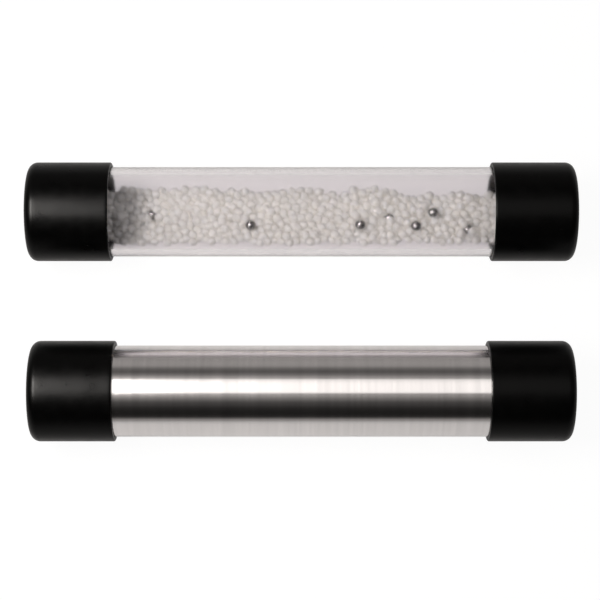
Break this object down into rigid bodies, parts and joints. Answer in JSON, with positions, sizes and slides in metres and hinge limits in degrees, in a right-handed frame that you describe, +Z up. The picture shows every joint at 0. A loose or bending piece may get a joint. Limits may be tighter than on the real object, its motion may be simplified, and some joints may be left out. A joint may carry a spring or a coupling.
{
  "type": "percussion shaker",
  "caption": "Hand-held tube shakers in clear acrylic and brushed metal, closed by black push-on rubber caps over a loose fill of white plastic granules and small steel balls.",
  "frame": {"origin": "on the surface that the shakers lie on, midway between their two axes and midway between their ends", "axes": "+X along both tubes towards their right-hand caps, +Y from the metal shaker to the clear one, +Z up"},
  "size_m": [0.2434, 0.1252, 0.0442],
  "materials": {
    "acrylic": "clear, polished",
    "aluminium": "brushed round the tube",
    "rubber": "moulded, satin black",
    "granules": "translucent white granulate",
    "steel": "polished bearing balls"
  },
  "bodies": {
    "clear_tube": {"clear_tube": "acrylic"},
    "clear_left_cap": {"clear_left_cap": "rubber"},
    "clear_right_cap": {"clear_right_cap": "rubber"},
    "clear_fill": {"clear_pellet_fill": "granules"},
    "clear_ball_1": {"clear_ball_1": "steel"},
    "clear_ball_2": {"clear_ball_2": "steel"},
    "clear_ball_3": {"clear_ball_3": "steel"},
    "clear_ball_4": {"clear_ball_4": "steel"},
    "clear_ball_5": {"clear_ball_5": "steel"},
    "clear_ball_6": {"clear_ball_6": "steel"},
    "clear_ball_7": {"clear_ball_7": "steel"},
    "metal_tube": {"metal_tube": "aluminium"},
    "metal_left_cap": {"metal_left_cap": "rubber"},
    "metal_right_cap": {"metal_right_cap": "rubber"},
    "metal_fill": {"metal_pellet_fill": "granules"},
    "metal_ball_1": {"metal_ball_1": "steel"},
    "metal_ball_2": {"metal_ball_2": "steel"},
    "metal_ball_3": {"metal_ball_3": "steel"},
    "metal_ball_4": {"metal_ball_4": "steel"},
    "metal_ball_5": {"metal_ball_5": "steel"},
    "metal_ball_6": {"metal_ball_6": "steel"},
    "metal_ball_7": {"metal_ball_7": "steel"}
  },
  "joints": [
    {"name": "clear_left_cap_pull", "type": "slide", "parent": "clear_tube", "child": "clear_left_cap", "axis": [-1, 0, 0], "range_m": [0, 0.045]},
    {"name": "clear_right_cap_pull", "type": "slide", "parent": "clear_tube", "child": "clear_right_cap", "axis": [1, 0, 0], "range_m": [0, 0.045]},
    {"name": "clear_fill_roll", "type": "hinge", "parent": "clear_tube", "child": "clear_fill", "pos_m": [0, 0.0405, 0.02208], "axis": [1, 0, 0], "continuous": true},
    {"name": "clear_ball_1_hop", "type": "slide", "parent": "clear_fill", "child": "clear_ball_1", "axis": [0, 0, 1], "range_m": [0, 0.0195]},
    {"name": "clear_ball_2_hop", "type": "slide", "parent": "clear_fill", "child": "clear_ball_2", "axis": [0, 0, 1], "range_m": [0, 0.0195]},
    {"name": "clear_ball_3_hop", "type": "slide", "parent": "clear_fill", "child": "clear_ball_3", "axis": [0, 0, 1], "range_m": [0, 0.0195]},
    {"name": "clear_ball_4_hop", "type": "slide", "parent": "clear_fill", "child": "clear_ball_4", "axis": [0, 0, 1], "range_m": [0, 0.0195]},
    {"name": "clear_ball_5_hop", "type": "slide", "parent": "clear_fill", "child": "clear_ball_5", "axis": [0, 0, 1], "range_m": [0, 0.0195]},
    {"name": "clear_ball_6_hop", "type": "slide", "parent": "clear_fill", "child": "clear_ball_6", "axis": [0, 0, 1], "range_m": [0, 0.0195]},
    {"name": "clear_ball_7_hop", "type": "slide", "parent": "clear_fill", "child": "clear_ball_7", "axis": [0, 0, 1], "range_m": [0, 0.0195]},
    {"name": "metal_shaker_lift", "type": "slide", "parent": "clear_tube", "child": "metal_tube", "axis": [0, 0, 1], "range_m": [0, 0.1]},
    {"name": "metal_left_cap_pull", "type": "slide", "parent": "metal_tube", "child": "metal_left_cap", "axis": [-1, 0, 0], "range_m": [0, 0.045]},
    {"name": "metal_right_cap_pull", "type": "slide", "parent": "metal_tube", "child": "metal_right_cap", "axis": [1, 0, 0], "range_m": [0, 0.045]},
    {"name": "metal_fill_roll", "type": "hinge", "parent": "metal_tube", "child": "metal_fill", "pos_m": [0, -0.0405, 0.02208], "axis": [1, 0, 0], "continuous": true},
    {"name": "metal_ball_1_hop", "type": "slide", "parent": "metal_fill", "child": "metal_ball_1", "axis": [0, 0, 1], "range_m": [0, 0.021]},
    {"name": "metal_ball_2_hop", "type": "slide", "parent": "metal_fill", "child": "metal_ball_2", "axis": [0, 0, 1], "range_m": [0, 0.021]},
    {"name": "metal_ball_3_hop", "type": "slide", "parent": "metal_fill", "child": "metal_ball_3", "axis": [0, 0, 1], "range_m": [0, 0.021]},
    {"name": "metal_ball_4_hop", "type": "slide", "parent": "metal_fill", "child": "metal_ball_4", "axis": [0, 0, 1], "range_m": [0, 0.021]},
    {"name": "metal_ball_5_hop", "type": "slide", "parent": "metal_fill", "child": "metal_ball_5", "axis": [0, 0, 1], "range_m": [0, 0.021]},
    {"name": "metal_ball_6_hop", "type": "slide", "parent": "metal_fill", "child": "metal_ball_6", "axis": [0, 0, 1], "range_m": [0, 0.021]},
    {"name": "metal_ball_7_hop", "type": "slide", "parent": "metal_fill", "child": "metal_ball_7", "axis": [0, 0, 1], "range_m": [0, 0.021]}
  ]
}
